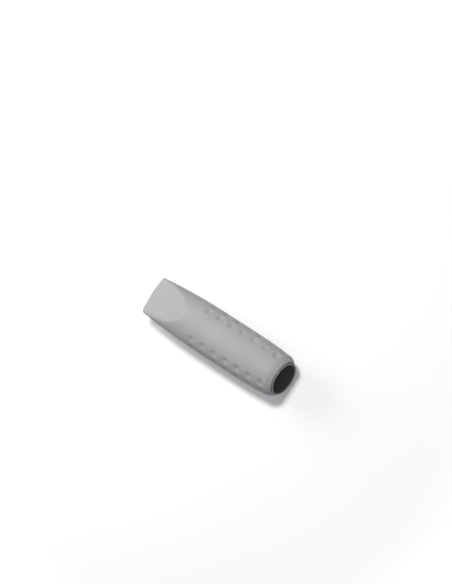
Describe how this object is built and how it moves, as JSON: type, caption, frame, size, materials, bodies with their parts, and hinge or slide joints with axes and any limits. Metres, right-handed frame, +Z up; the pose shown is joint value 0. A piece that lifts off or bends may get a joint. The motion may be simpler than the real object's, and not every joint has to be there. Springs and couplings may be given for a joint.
{
  "type": "pencil eraser topper",
  "caption": "Slip-on pencil eraser topper: chisel-tipped moulded eraser with grip dimples and a blind socket, lined by a thin sleeve that grips the pencil's end.",
  "frame": {"origin": "centre of the sleeve's mouth, where the pencil goes in, on the socket's axis", "axes": "+X out of the socket's mouth, the way the pencil leaves; +Y along the chisel edge; +Z up, square to the chisel edge, with the part lying on its barrel"},
  "size_m": [0.0419, 0.0116, 0.0116],
  "materials": {
    "eraser_rubber": "moulded eraser rubber, neutral grey, matte with a fine even grain",
    "sleeve_plastic": "thin extruded plastic tube, darker neutral grey, satin"
  },
  "bodies": {
    "root": {"eraser_body": "eraser_rubber", "pencil_sleeve": "sleeve_plastic"}
  },
  "joints": []
}
